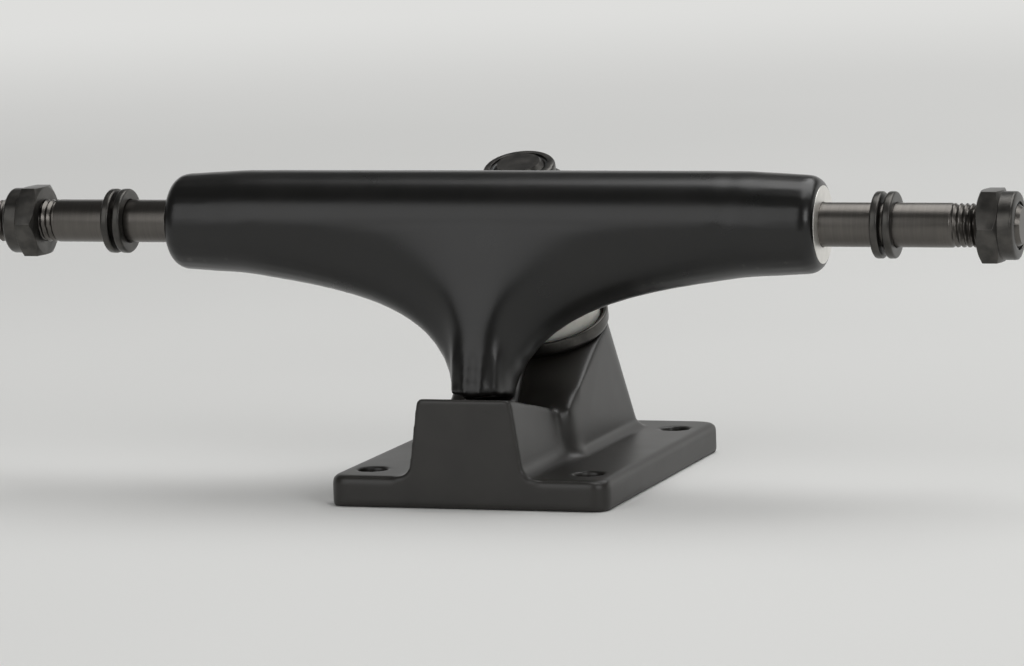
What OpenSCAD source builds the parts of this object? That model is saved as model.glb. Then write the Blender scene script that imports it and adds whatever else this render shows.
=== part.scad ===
// Skateboard truck: deck plate, pivot, kingpin stack, hanger and axle.
// The origin is the middle of the deck face, +X runs along the axle,
// +Y from the pivot to the kingpin, +Z away from the deck. Millimetres.

/* [Deck plate] */
// Length of the plate along the board
plate_length = 73; // [71:0.5:80]
// Width of the plate across the board
plate_width = 52.8; // [51:0.2:58]
// Thickness of the flange
plate_thickness = 5.6; // [4.6:0.1:7]
// Radius of the flange corners in plan
plate_corner_r = 3.25; // [2.5:0.25:6]
// Rounding of the upper edge of the flange
plate_edge_r = 1.2; // [0.8:0.1:2.2]
// Deck bolt spacing across the board
bolt_spacing_x = 41.28; // [40:0.02:42]
// Deck bolt spacing along the board
bolt_spacing_y = 53.98; // [52:0.02:55]
// Diameter of a deck bolt hole
bolt_hole_d = 5.4; // [4.8:0.1:6]
// Middle of the bolt pattern, from the middle of the plate
bolt_pattern_y = -1.15; // [-2:0.05:1]

/* [Pivot block] */
// Height of the block at its front, from the deck
block_height = 20; // [19:0.25:22]
// Fall of the block's top towards the kingpin, in degrees
block_fall = 12; // [9:0.5:14]
// Width of the block at its top
block_top_w = 17.8; // [17.4:0.2:20]
// Width of the block at the flange
block_foot_w = 22; // [21:0.2:25]
// Length of the block from the front of the plate
block_length = 28.5; // [26:0.5:31]
// Rounding of the block's upper edges
block_edge_r = 1.5; // [0.6:0.1:2.2]
// Fillet where the block meets the flange
foot_fillet_r = 2.6; // [1.5:0.1:3]
// Distance of the pivot from the front of the plate
pivot_from_front = 10; // [9.6:0.1:11]
// Height of the pivot above the deck
pivot_height = 11.5; // [11:0.1:12.5]

/* [Pivot cup] */
// Diameter of the pivot nose
nose_d = 9.4; // [8.6:0.1:9.8]
// Straight length of the nose, from the pivot to its shoulder
nose_straight = 4.6; // [4.2:0.1:5.4]
// Wall of the pivot cup
cup_wall = 1.55; // [1.2:0.05:1.8]
// Height of the cup's mouth above the pivot
cup_mouth = 3.8; // [3:0.1:4]
// Running gap between nose and cup
nose_gap = 0.05; // [0.02:0.01:0.1]
// Seat gap between cup and block
cup_gap = 0.05; // [0.02:0.01:0.1]
// Widest radius of the hollow that the neck swings in
neck_room_r = 7.4; // [7:0.1:8.6]
// Width of the step round the cup's mouth
mouth_step = 0.7; // [0.5:0.05:1.2]

/* [Kingpin seat] */
// Lean of the kingpin from square to the deck, in degrees
kingpin_lean = 20; // [18:0.5:22]
// Middle of the kingpin seat, from the middle of the plate
seat_y = 10.8; // [10.2:0.1:12]
// Middle of the kingpin seat, from the deck
seat_height = 26.3; // [25.5:0.1:27.5]
// Diameter of the seat
seat_d = 24; // [22:0.2:25]
// Width of the spine at the flange
spine_foot_w = 26; // [24:0.2:28]
// Front of the spine, from the front of the plate
spine_front = 24.4; // [21:0.1:26]
// Height of the spine's front edge above the deck
spine_shoulder_h = 15.2; // [13.5:0.1:16.5]
// Width of the spine at its front edge
spine_shoulder_w = 24.6; // [23:0.2:27]
// Rounding of the spine's front edge
spine_shoulder_r = 1; // [0.6:0.1:1.6]
// Back of the spine's foot, from the back of the plate
spine_back = 6.5; // [5:0.1:9]
// Chamfer round the foot of the spine
spine_fillet = 1.2; // [0.6:0.1:2.4]
// Corner radius of the spine's foot
spine_corner_r = 4; // [3:0.25:6]

/* [Kingpin] */
// Diameter of the kingpin
kingpin_d = 9.525; // [9:0.025:10]
// Depth of the kingpin's thread below its shank
kingpin_thread_depth = 0.16; // [0.1:0.02:0.3]
// Length of the kingpin's thread
kingpin_thread_length = 15; // [12:0.5:18]
// Metal between the seat and the kingpin's head
kingpin_grip = 14; // [12:0.25:15]
// Height of the kingpin's hexagon head
kingpin_head_h = 6.4; // [5:0.1:7]
// Width across flats of the kingpin's head
kingpin_head_af = 14.29; // [13:0.01:15]
// Gap between the kingpin and its hole
kingpin_gap = 0.09; // [0.05:0.01:0.15]
// Gap round the head in its recess
head_gap = 0.2; // [0.1:0.05:0.3]
// End of the kingpin above its nut
kingpin_proud = 0.6; // [0.2:0.1:1.5]

/* [Bushings and cup washers] */
// Diameter of the lower cup washer
lower_washer_d = 25; // [24.4:0.1:26]
// Diameter of the upper cup washer
upper_washer_d = 20; // [19.6:0.1:20.6]
// Thickness of the cup washers' floor
washer_floor = 1.8; // [1.4:0.05:2]
// Height of the cup washers' rim beyond the floor
washer_rim_h = 1.4; // [0.8:0.1:1.6]
// Wall of the cup washers' rim
washer_rim_wall = 0.8; // [0.6:0.05:0.9]
// Height of the lower bushing
lower_bushing_h = 10.5; // [10:0.1:12]
// Diameter of the lower bushing
lower_bushing_d = 22; // [20.6:0.1:22.4]
// Height of the upper bushing
upper_bushing_h = 7.3; // [6.8:0.1:8]
// Lower diameter of the upper bushing
upper_bushing_d = 20; // [19:0.1:20.2]
// Upper diameter of the upper bushing
upper_bushing_top_d = 17.2; // [16:0.1:17.4]
// Rounding of the bushings' edges
bushing_edge_r = 0.9; // [0.4:0.1:1.2]
// Gap between the bushings or washers and the kingpin
bushing_gap = 0.15; // [0.1:0.01:0.3]
// Gap between stacked faces
stack_gap = 0.02; // [0.01:0.01:0.05]

/* [Hanger] */
// Width of the hanger between its end faces
hanger_width = 124; // [120:1:140]
// Height of the axle above the deck
axle_height = 49.5; // [48.5:0.1:51]
// Place of the axle along the board, from the middle of the plate
axle_y = -16; // [-17:0.1:-15.6]
// Diameter of the barrel at its middle
barrel_d = 19.2; // [18.4:0.1:19.8]
// Diameter of the barrel at its ends
barrel_end_d = 17.8; // [17:0.1:18.4]
// Length over which the barrel tapers
barrel_taper = 14; // [8:0.5:18]
// Diameter of the machined end face
end_face_d = 14.6; // [13:0.1:15.4]
// Rounding of the barrel's end
barrel_end_r = 3; // [2:0.1:3.6]
// Where the flare leaves the barrel: distance from the middle
flare_shoulder_x = 27; // [24:0.5:32]
// Where the flare leaves the barrel: depth below the axle
flare_shoulder_drop = 12.3; // [11.5:0.1:13.5]
// Where the flare turns into the neck: distance from the middle
flare_throat_x = 4.5; // [4:0.1:6]
// Where the flare turns into the neck: depth below the axle
flare_throat_drop = 15.5; // [13:0.25:18]
// Width of the neck at its end
neck_w = 8.6; // [8:0.1:9.6]
// Thickness of the neck, front to back
neck_depth = 11.4; // [10.6:0.1:12]
// Depth of the neck's end below the axle
neck_drop = 36; // [35:0.1:37]
// Lean of the neck towards the pivot, over its drop
neck_lean = 10; // [9:0.1:10.4]
// Rounding of the flare's lower edge, at the neck
flare_edge_r = 2.1; // [1.8:0.1:3.4]
// Gap that the neck keeps from the block and the cup when it steers
neck_gap = 0.4; // [0.3:0.05:0.8]
// Outer diameter of the bushing ring
ring_d = 27.4; // [26.8:0.1:28.4]
// Thickness of the ring's web between the bushings
ring_web = 3.5; // [3:0.1:4.5]
// Hole for the kingpin in the ring
ring_hole_d = 14.4; // [13.4:0.1:15.4]
// Depth of the lower bushing's recess
lower_recess = 2; // [1.5:0.1:2.4]
// Depth of the upper bushing's recess
upper_recess = 1.5; // [1:0.1:1.8]
// Gap round a bushing in its recess
recess_gap = 0.6; // [0.4:0.05:0.8]
// Width of the yoke where it meets the barrel
yoke_w = 48; // [40:0.5:56]
// Thickness of the yoke at the barrel
yoke_depth = 11; // [9:0.1:12.5]
// Room round the upper cup washer for its swing
upper_washer_room = 0.9; // [0.6:0.1:1.2]
// Room round the lower cup washer for its swing
lower_washer_room = 2.1; // [1.9:0.1:2.4]
// Steering angle to each side, in degrees
steer_limit = 16; // [10:1:17]

/* [Axle] */
// Length of the axle
axle_length = 196.85; // [190:0.05:210]
// Diameter of the axle
axle_d = 7.94; // [7.5:0.01:8]
// Length of each threaded end
axle_thread_length = 12.8; // [12.4:0.1:15]
// Depth of the axle's thread below its shank
axle_thread_depth = 0.22; // [0.1:0.02:0.3]
// Gap between the axle and the hanger's bore
axle_bore_gap = 0.02; // [0.01:0.01:0.05]
// End of the axle beyond the left nut
left_axle_proud = 3.1; // [0.2:0.1:4]
// End of the axle beyond the right nut
right_axle_proud = 0.6; // [0.2:0.1:4]
// Diameter of the speed washers
speed_washer_d = 12; // [11:0.1:13]
// Thickness of the speed washers
speed_washer_t = 1.5; // [0.8:0.05:1.7]
// Gap between the speed washers and the axle
speed_washer_gap = 0.08; // [0.05:0.01:0.1]
// Space between the two speed washers of a pair
speed_washer_space = 0.8; // [0.4:0.1:1]
// Inner face of the left pair, from the middle of the hanger
left_washers_x = 71.6; // [70:0.2:80]
// Inner face of the right pair, from the middle of the hanger
right_washers_x = 71.8; // [70:0.2:80]

/* [Lock nuts] */
// Width across flats of the axle nuts
axle_nut_af = 12.7; // [11.6:0.1:13.2]
// Height of the axle nuts
axle_nut_h = 6.7; // [6.2:0.1:8.7]
// Width across flats of the kingpin nut
kingpin_nut_af = 14.29; // [13.4:0.01:15]
// Height of the kingpin nut
kingpin_nut_h = 9.2; // [8.6:0.1:10]
// Height of a nut's round collar
nut_collar_h = 2.8; // [2.4:0.1:3]
// Gap between a nut and its thread
thread_gap = 0.09; // [0.05:0.01:0.1]
// Wall of the collar round its nylon ring
collar_wall = 0.7; // [0.5:0.05:0.9]
// Wall of the kingpin nut's nylon ring
kingpin_ring_wall = 1.35; // [1.2:0.05:1.4]
// Wall of the axle nuts' nylon rings
axle_ring_wall = 1.15; // [1:0.05:1.2]
// Height of a nylon ring
insert_h = 2; // [1.6:0.1:2.2]
// Gap between a nylon ring and its nut
insert_gap = 0.04; // [0.02:0.01:0.08]

/* [Hidden] */
$fn = 64;

// Round shapes inside a blend, steps of a drawn arc, and the overlap of joined or cut bodies
blend_fn = 48;
arc_steps = 6;
edge_steps = 3;
sunk = 0.5;
past = 60;

// Half of a hexagon's corner, the chamfer of a nut and its start inside the flats
hex_half = 30;
nut_chamfer = 30;
nut_face_inset = 0.1;

// Chamfer on the ends of kingpin and axle, and a cup washer's heel as a share of its floor
tip_chamfer = 0.65;
heel_share = 0.8;

front_y = -plate_length / 2;
back_y = plate_length / 2;
pivot_y = front_y + pivot_from_front;

// Heights of the kingpin stack, measured along the kingpin from the seat
lower_washer_s = stack_gap;
lower_bushing_s = lower_washer_s + washer_floor + stack_gap;
ring_s = lower_bushing_s + lower_bushing_h + stack_gap;
upper_bushing_s = ring_s + ring_web + stack_gap;
upper_washer_s = upper_bushing_s + upper_bushing_h + stack_gap;
kingpin_nut_s = upper_washer_s + washer_floor + stack_gap;
kingpin_tip_s = kingpin_nut_s + kingpin_nut_h + kingpin_proud;
ring_mid_s = ring_s + ring_web / 2;
ring_y = seat_y - ring_mid_s * sin(kingpin_lean);
ring_z = seat_height + ring_mid_s * cos(kingpin_lean);

// The steering axis runs from the pivot to the middle of the ring
steer_rise = atan2(ring_z - pivot_height, ring_y - pivot_y);
steer_length = norm([ring_y - pivot_y, ring_z - pivot_height]);

nose_r = nose_d / 2;
cup_r = nose_r + nose_gap;
cup_outer_r = cup_r + cup_wall;
kingpin_r = kingpin_d / 2;
axle_r = axle_d / 2;
hanger_half = hanger_width / 2;
axle_half = axle_length / 2;
left_nut_x = axle_half - left_axle_proud - axle_nut_h;
right_nut_x = axle_half - right_axle_proud - axle_nut_h;
lower_recess_r = lower_bushing_d / 2 + recess_gap;
upper_recess_r = upper_bushing_d / 2 + recess_gap;
swing_room_r = upper_washer_d / 2 + upper_washer_room;
lower_room_r = lower_washer_d / 2 + lower_washer_room;
lower_room_s = lower_bushing_s + washer_rim_h + lower_washer_room;
kingpin_nut_bore = kingpin_r - kingpin_thread_depth + thread_gap;
axle_nut_bore = axle_r - axle_thread_depth + thread_gap;
kingpin_insert_r = kingpin_nut_bore + kingpin_ring_wall;
axle_insert_r = axle_nut_bore + axle_ring_wall;
outer_washer_step = speed_washer_t + speed_washer_space;

// Arm of the hanger, along the steering axis from the pivot: its shoulder and its root
shoulder_s = 6.6;
shoulder_r = 4.9;
arm_root_s = 17;
arm_root_r = 4;

// Height of the widening mouth of the hollow round the arm
mouth_h = 9.7;

// Inset of the yoke inside the ring, and its place behind and below the axle
ring_margin = 1;
yoke_behind = 1;
yoke_below = 2.5;

// Loft of the hanger: steps along its edge and its neck, and points round a section
flare_reach = hanger_half - barrel_taper;
flare_steps = 14;
neck_steps = 4;
barrel_points = 16;
edge_points = 10;
side_points = 3;
side_step = 4;
edge_growth = 0.6;
neck_fade = 3.4;
axle_point = [axle_y, axle_height];

// Point on a cubic curve through its four control points
function curve(a, b, c, d, u) =
    pow(1 - u, 3) * a + 3 * u * pow(1 - u, 2) * b + 3 * u * u * (1 - u) * c + pow(u, 3) * d;

// Points of the arc about a centre, from one angle to another
function arc(centre, r, from, to, steps) =
    [for (i = [0:steps])
        let (turn = from + (to - from) * i / steps)
            centre + r * [cos(turn), sin(turn)]];

// Corner b of the outline a, b, c, rounded to radius r
function rounded(a, b, c, r) =
    let (
        u = (a - b) / norm(a - b),
        v = (c - b) / norm(c - b),
        half = acos(u * v) / 2,
        middle = b + (u + v) / norm(u + v) * r / sin(half),
        start = b + u * r / tan(half) - middle,
        end = b + v * r / tan(half) - middle,
        from = atan2(start[1], start[0]),
        turn = atan2(start[0] * end[1] - start[1] * end[0], start * end)
    )
    arc(middle, r, from, from + turn, arc_steps);

module on_kingpin(s) {
    translate([0, seat_y, seat_height])
        rotate([kingpin_lean, 0, 0])
            translate([0, 0, s])
                children();
}

module on_steering(s) {
    translate([0, pivot_y, pivot_height])
        rotate([steer_rise - 90, 0, 0])
            translate([0, 0, s])
                children();
}

// Turned about the steering axis
module steered(turn) {
    on_steering(0)
        rotate([0, 0, turn])
            rotate([90 - steer_rise, 0, 0])
                translate([0, -pivot_y, -pivot_height])
                    children();
}

module on_axle(x) {
    translate([x, axle_y, axle_height])
        rotate([0, x < 0 ? -90 : 90, 0])
            children();
}

module rounded_plan(width, length, r) {
    square([width - 2 * r, length], center = true);
    square([width, length - 2 * r], center = true);
    for (x = [-1, 1], y = [-1, 1])
        translate([x * (width / 2 - r), y * (length / 2 - r)])
            circle(r, $fn = blend_fn);
}

// A ring of revolution: a flat disc with a bore
module disc(r, bore_r, h) {
    difference() {
        cylinder(r = r, h = h);
        translate([0, 0, -sunk])
            cylinder(r = bore_r, h = h + 2 * sunk);
    }
}

// Baseplate
module flange() {
    hull()
        for (turn = [for (i = [0:edge_steps]) 90 * i / edge_steps])
            let (inset = plate_edge_r * (1 - cos(turn)), z = plate_edge_r * (1 - sin(turn)))
                linear_extrude(plate_thickness - z)
                    rounded_plan(plate_width - 2 * inset, plate_length - 2 * inset, plate_corner_r);
}

module spine_foot(grow, h) {
    length = plate_length - spine_front - spine_back;
    translate([0, (spine_front - spine_back) / 2, plate_thickness - sunk])
        linear_extrude(h + sunk)
            rounded_plan(spine_foot_w + 2 * grow, length + 2 * grow, spine_corner_r + grow);
}

module spine() {
    hull() {
        on_kingpin(-sunk)
            cylinder(d = seat_d, h = sunk, $fn = blend_fn);
        spine_foot(0, sunk);
        translate([-spine_shoulder_w / 2, front_y + spine_front + spine_shoulder_r,
                spine_shoulder_h - spine_shoulder_r])
            rotate([0, 90, 0])
                cylinder(r = spine_shoulder_r, h = spine_shoulder_w, $fn = blend_fn);
    }
    hull() {
        spine_foot(spine_fillet, 0);
        spine_foot(0, spine_fillet);
    }
}

module block_section() {
    foot = block_foot_w / 2;
    top = block_top_w / 2;
    strip = foot + foot_fillet_r;
    low = plate_thickness - 2 * plate_edge_r;
    corner = [top, block_height];
    heel = [foot, plate_thickness];
    side = concat([[strip, low], [strip, plate_thickness]],
        rounded([strip, plate_thickness], heel, corner, foot_fillet_r),
        rounded(heel, corner, [-top, block_height], block_edge_r));
    polygon(concat(side, [for (i = [len(side) - 1:-1:0]) [-side[i][0], side[i][1]]]));
}

module pivot_block() {
    difference() {
        translate([0, front_y + block_length, 0])
            rotate([90, 0, 0])
                linear_extrude(block_length)
                    block_section();
        translate([0, front_y, block_height])
            rotate([-block_fall, 0, 0])
                translate([-past / 2, -past / 2, 0])
                    cube(past);
    }
}

// The hollow for the cup, and the room above it in which the neck swings
module pivot_hollow() {
    on_steering(0) {
        sphere(cup_outer_r + cup_gap);
        cylinder(r = cup_outer_r + cup_gap, h = steer_length);
    }
    on_steering(cup_mouth + cup_gap)
        cylinder(r1 = cup_outer_r + mouth_step, r2 = neck_room_r, h = mouth_h);
    on_steering(cup_mouth + cup_gap + mouth_h - sunk)
        cylinder(r = neck_room_r, h = steer_length);
}

module kingpin_hollow() {
    on_kingpin(-past)
        cylinder(r = kingpin_r + kingpin_gap, h = 2 * past);
    on_kingpin(-kingpin_grip - past)
        hexagon(kingpin_head_af + 2 * head_gap, past);
}

module hexagon(across_flats, h) {
    rotate([0, 0, hex_half])
        cylinder(d = across_flats / cos(hex_half), h = h, $fn = 6);
}

module baseplate() {
    color("#17181a")
        difference() {
            union() {
                flange();
                spine();
                pivot_block();
            }
            pivot_hollow();
            kingpin_hollow();
            for (x = [-1, 1], y = [-1, 1])
                translate([x * bolt_spacing_x / 2, bolt_pattern_y + y * bolt_spacing_y / 2, -sunk])
                    cylinder(d = bolt_hole_d, h = plate_thickness + 2 * sunk);
        }
}

module pivot_cup() {
    color("#2a2b2d")
        on_steering(0)
            difference() {
                union() {
                    sphere(cup_outer_r);
                    cylinder(r = cup_outer_r, h = cup_mouth);
                }
                sphere(cup_r);
                cylinder(r = cup_r, h = cup_mouth + sunk);
                translate([0, 0, cup_mouth])
                    cylinder(r = past, h = past);
            }
}

// Kingpin stack
module kingpin() {
    thread_s = kingpin_tip_s - kingpin_thread_length;
    thread_r = kingpin_r - kingpin_thread_depth;
    color("#3a3b3e") {
        on_kingpin(-kingpin_grip - kingpin_head_h)
            hexagon(kingpin_head_af, kingpin_head_h - stack_gap);
        on_kingpin(-kingpin_grip - sunk)
            cylinder(r = kingpin_r, h = kingpin_grip + sunk + thread_s);
        on_kingpin(thread_s - sunk)
            cylinder(r = thread_r, h = kingpin_thread_length + sunk - tip_chamfer);
        on_kingpin(kingpin_tip_s - tip_chamfer)
            cylinder(r1 = thread_r, r2 = thread_r - tip_chamfer, h = tip_chamfer);
    }
}

// A cup washer with its floor at z = 0 and its rim pointing up
module cup_washer(d) {
    r = d / 2;
    bore = kingpin_r + bushing_gap;
    lip = [r, washer_floor + washer_rim_h];
    inner = r - washer_rim_wall;
    rotate_extrude()
        polygon(concat([[bore, washer_floor], [bore, 0]],
            rounded([bore, 0], [r, 0], lip, washer_floor * heel_share),
            [lip, [inner, lip[1]]],
            rounded([inner, lip[1]], [inner, washer_floor], [bore, washer_floor], washer_rim_wall)));
}

module lower_washer() {
    color("#1d1e20")
        on_kingpin(lower_washer_s)
            cup_washer(lower_washer_d);
}

module upper_washer() {
    color("#1d1e20")
        on_kingpin(upper_washer_s + washer_floor)
            rotate([180, 0, 0])
                cup_washer(upper_washer_d);
}

// A bushing of revolution with rounded edges
module bushing(d, top_d, h) {
    bore = kingpin_r + bushing_gap;
    foot = [d / 2, 0];
    top = [top_d / 2, h];
    rotate_extrude()
        polygon(concat([[bore, 0]],
            rounded([bore, 0], foot, top, bushing_edge_r),
            rounded(foot, top, [bore, h], bushing_edge_r),
            [[bore, h]]));
}

module lower_bushing() {
    color("#e8e6de")
        on_kingpin(lower_bushing_s)
            bushing(lower_bushing_d, lower_bushing_d, lower_bushing_h);
}

module upper_bushing() {
    color("#e8e6de")
        on_kingpin(upper_bushing_s)
            bushing(upper_bushing_d, upper_bushing_top_d, upper_bushing_h);
}

// A lock nut standing on z = 0: chamfered hexagon, round collar, groove for its nylon ring
module lock_nut(across_flats, h, bore_r, ring_r) {
    hex_h = h - nut_collar_h;
    corner = across_flats / 2 / cos(hex_half);
    face_r = across_flats / 2 - nut_face_inset;
    collar_r = ring_r + collar_wall;
    slope = (corner - face_r) * tan(nut_chamfer);
    difference() {
        union() {
            intersection() {
                hexagon(across_flats, hex_h);
                rotate_extrude()
                    polygon([[0, 0], [face_r, 0], [corner, slope], [corner, hex_h - slope],
                        [face_r, hex_h], [0, hex_h]]);
            }
            translate([0, 0, hex_h - sunk])
                rotate_extrude()
                    polygon(concat([[0, 0], [collar_r, 0]],
                        rounded([collar_r, 0], [collar_r, nut_collar_h + sunk], [0, nut_collar_h + sunk],
                            collar_wall),
                        [[0, nut_collar_h + sunk]]));
        }
        translate([0, 0, -sunk])
            cylinder(r = bore_r, h = h + 2 * sunk);
        translate([0, 0, h - nut_collar_h / 2 - insert_h / 2 - insert_gap])
            cylinder(r = ring_r, h = insert_h + 2 * insert_gap);
        translate([0, 0, h - nut_collar_h / 2])
            cylinder(r = ring_r - collar_wall, h = nut_collar_h);
    }
}

// The nylon ring of a lock nut that stands on z = 0
module nut_insert(h, bore_r, ring_r) {
    translate([0, 0, h - nut_collar_h / 2 - insert_h / 2])
        disc(ring_r - insert_gap, bore_r, insert_h);
}

module kingpin_nut() {
    color("#1b1c1e")
        on_kingpin(kingpin_nut_s)
            lock_nut(kingpin_nut_af, kingpin_nut_h, kingpin_nut_bore, kingpin_insert_r);
}

module kingpin_nut_insert() {
    color("#26272a")
        on_kingpin(kingpin_nut_s)
            nut_insert(kingpin_nut_h, kingpin_nut_bore, kingpin_insert_r);
}

// Hanger: lower edge of the flare, as [distance from the middle, height]
function flare_edge(u) =
    curve([flare_reach, axle_height - barrel_d / 2],
        [flare_shoulder_x, axle_height - flare_shoulder_drop],
        [flare_throat_x, axle_height - flare_throat_drop],
        [neck_w / 2, axle_height - neck_drop], u);

// Radius of the rounded lower edge: round at the neck, slim beside it, full at the barrel
function edge_radius(x) =
    flare_edge_r + (neck_depth / 2 - flare_edge_r) * exp(-pow(x / neck_fade, 2))
        + (barrel_d / 2 - flare_edge_r) * pow(x / flare_reach, edge_growth);

// Points between two points, both left out
function between(a, b, parts) = [for (i = [1:parts - 1]) a + (b - a) * i / parts];

// Middle of the lower edge's circle, as [y, z]
function edge_middle(x, low) =
    let (fall = (axle_height - barrel_d / 2 - low) / (neck_drop - barrel_d / 2))
    [axle_y - neck_lean * fall, low + edge_radius(x)];

// Bearing of that circle from the axle, and the angle to each of the two tangents
function tangents(x, low) =
    let (away = edge_middle(x, low) - axle_point)
    [atan2(away[1], away[0]), acos((barrel_d / 2 - edge_radius(x)) / norm(away))];

// Section across the flare: the barrel's circle and the lower edge's circle, with their tangents
function flare_section(x, low) =
    let (
        turn = tangents(x, low),
        upper = arc(axle_point, barrel_d / 2, turn[0] + turn[1], turn[0] + 360 - turn[1], barrel_points),
        lower = arc(edge_middle(x, low), edge_radius(x), turn[0] - turn[1], turn[0] + turn[1], edge_points)
    )
    concat(upper, between(upper[barrel_points], lower[0], side_points),
        lower, between(lower[edge_points], upper[0], side_points));

// Section across the plain barrel, with points that follow on from the flare's first section
function barrel_section(r) =
    let (
        first = flare_edge(1 / flare_steps),
        turn = tangents(first[0], first[1]),
        aim = turn[0],
        spread = turn[1],
        near = spread + side_points * side_step,
        upper = arc(axle_point, r, aim + near, aim + 360 - near, barrel_points),
        before = arc(axle_point, r, aim - near + side_step, aim - spread - side_step, side_points - 2),
        lower = arc(axle_point, r, aim - spread, aim + spread, edge_points),
        after = arc(axle_point, r, aim + spread + side_step, aim + near - side_step, side_points - 2)
    )
    concat(upper, before, lower, after);

// Half of the hanger from its middle outwards, as [distance from the middle, section]
neck_part = [for (i = [1:neck_steps - 1])
    [neck_w / 2 * sin(90 * i / neck_steps), axle_height - neck_drop]];
flare_part = [for (i = [flare_steps:-1:1]) flare_edge(i / flare_steps)];
end_part =
    let (
        arc_r = barrel_end_d / 2 - barrel_end_r,
        rise = acos((end_face_d / 2 - arc_r) / barrel_end_r),
        arc_x = hanger_half - barrel_end_r * sin(rise)
    )
    concat([[flare_reach, barrel_d / 2]],
        [for (p = arc([arc_x, arc_r], barrel_end_r, 90, 90 - rise, arc_steps)) p]);
half_sections = concat(
    [for (p = concat(neck_part, flare_part)) [p[0], flare_section(p[0], p[1])]],
    [for (p = end_part) [p[0], barrel_section(p[1])]]);
loft_sections = concat(
    [for (i = [len(half_sections) - 1:-1:0]) [-half_sections[i][0], half_sections[i][1]]],
    [[0, flare_section(0, axle_height - neck_drop)]],
    half_sections);

module crossbar() {
    count = len(loft_sections[0][1]);
    last = len(loft_sections) - 1;
    polyhedron(
        points = [for (section = loft_sections, p = section[1]) [section[0], p[0], p[1]]],
        faces = concat(
            [[for (j = [0:count - 1]) j]],
            [for (i = [0:last - 1], j = [0:count - 1])
                let (a = i * count + j, b = i * count + (j + 1) % count)
                    each [[a, a + count, b], [b, a + count, b + count]]],
            [[for (j = [count - 1:-1:0]) last * count + j]]));
}

module pivot_nose() {
    on_steering(0) {
        sphere(nose_r);
        cylinder(r = nose_r, h = nose_straight + sunk);
    }
    on_steering(nose_straight)
        cylinder(r1 = nose_r, r2 = shoulder_r, h = shoulder_s - nose_straight);
    on_steering(shoulder_s)
        cylinder(r1 = shoulder_r, r2 = arm_root_r, h = arm_root_s - shoulder_s);
}

// What the block's top and the cup's mouth sweep when the hanger steers
module neck_room() {
    for (turn = [-steer_limit, steer_limit])
        steered(turn)
            translate([0, front_y, block_height])
                rotate([-block_fall, 0, 0])
                    translate([-past / 2, -past / 2, neck_gap - past])
                        cube(past);
    on_steering(cup_mouth + neck_gap - past)
        cylinder(r = cup_outer_r + neck_gap, h = past);
}

// The yoke from the barrel to the ring, and the rib from the arm's root to the ring
module yoke() {
    hull() {
        on_kingpin(ring_s)
            cylinder(d = ring_d - 2 * ring_margin, h = ring_web, $fn = blend_fn);
        translate([-yoke_w / 2, axle_y + yoke_behind, axle_height - yoke_below])
            rotate([0, 90, 0])
                cylinder(d = yoke_depth, h = yoke_w, $fn = blend_fn);
    }
    hull() {
        on_kingpin(ring_s)
            cylinder(r = arm_root_r, h = ring_web, $fn = blend_fn);
        on_steering(arm_root_s)
            sphere(arm_root_r, $fn = blend_fn / 2);
        translate([-arm_root_r / 2, axle_y, axle_height])
            rotate([0, 90, 0])
                cylinder(r = arm_root_r, h = arm_root_r, $fn = blend_fn);
    }
}

module swing_room() {
    hull()
        for (turn = [-steer_limit, 0, steer_limit])
            steered(turn)
                on_kingpin(ring_s + ring_web + upper_recess)
                    cylinder(r = swing_room_r, h = past, $fn = blend_fn);
}

module hanger() {
    color("#18191b")
        difference() {
            union() {
                difference() {
                    crossbar();
                    neck_room();
                }
                yoke();
                pivot_nose();
                on_kingpin(ring_s - lower_recess)
                    cylinder(d = ring_d, h = lower_recess + ring_web + upper_recess);
            }
            swing_room();
            on_kingpin(ring_s - past)
                cylinder(r = lower_recess_r, h = past);
            on_kingpin(ring_s + ring_web)
                cylinder(r = upper_recess_r, h = upper_recess + sunk);
            on_kingpin(ring_s - sunk)
                cylinder(d = ring_hole_d, h = ring_web + 2 * sunk);
            on_kingpin(-past)
                cylinder(r = lower_room_r, h = past + lower_room_s);
            translate([-hanger_half - sunk, axle_y, axle_height])
                rotate([0, 90, 0])
                    cylinder(r = axle_r + axle_bore_gap, h = hanger_width + 2 * sunk);
        }
}

// Axle group
module axle() {
    thread_x = axle_half - axle_thread_length;
    thread_r = axle_r - axle_thread_depth;
    color("#4a4a4c")
        translate([0, axle_y, axle_height])
            rotate([0, 90, 0]) {
                translate([0, 0, -thread_x])
                    cylinder(r = axle_r, h = 2 * thread_x);
                translate([0, 0, -axle_half + tip_chamfer])
                    cylinder(r = thread_r, h = axle_length - 2 * tip_chamfer);
                for (side = [0, 1])
                    mirror([0, 0, side])
                        translate([0, 0, axle_half - tip_chamfer])
                            cylinder(r1 = thread_r, r2 = thread_r - tip_chamfer, h = tip_chamfer);
            }
}

module axle_nut(x) {
    color("#1b1c1e")
        on_axle(x)
            lock_nut(axle_nut_af, axle_nut_h, axle_nut_bore, axle_insert_r);
}

module axle_nut_insert(x) {
    color("#26272a")
        on_axle(x)
            nut_insert(axle_nut_h, axle_nut_bore, axle_insert_r);
}

module speed_washer(side, x) {
    color("#242527")
        on_axle(side * x)
            disc(speed_washer_d / 2, axle_r + speed_washer_gap, speed_washer_t);
}

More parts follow.
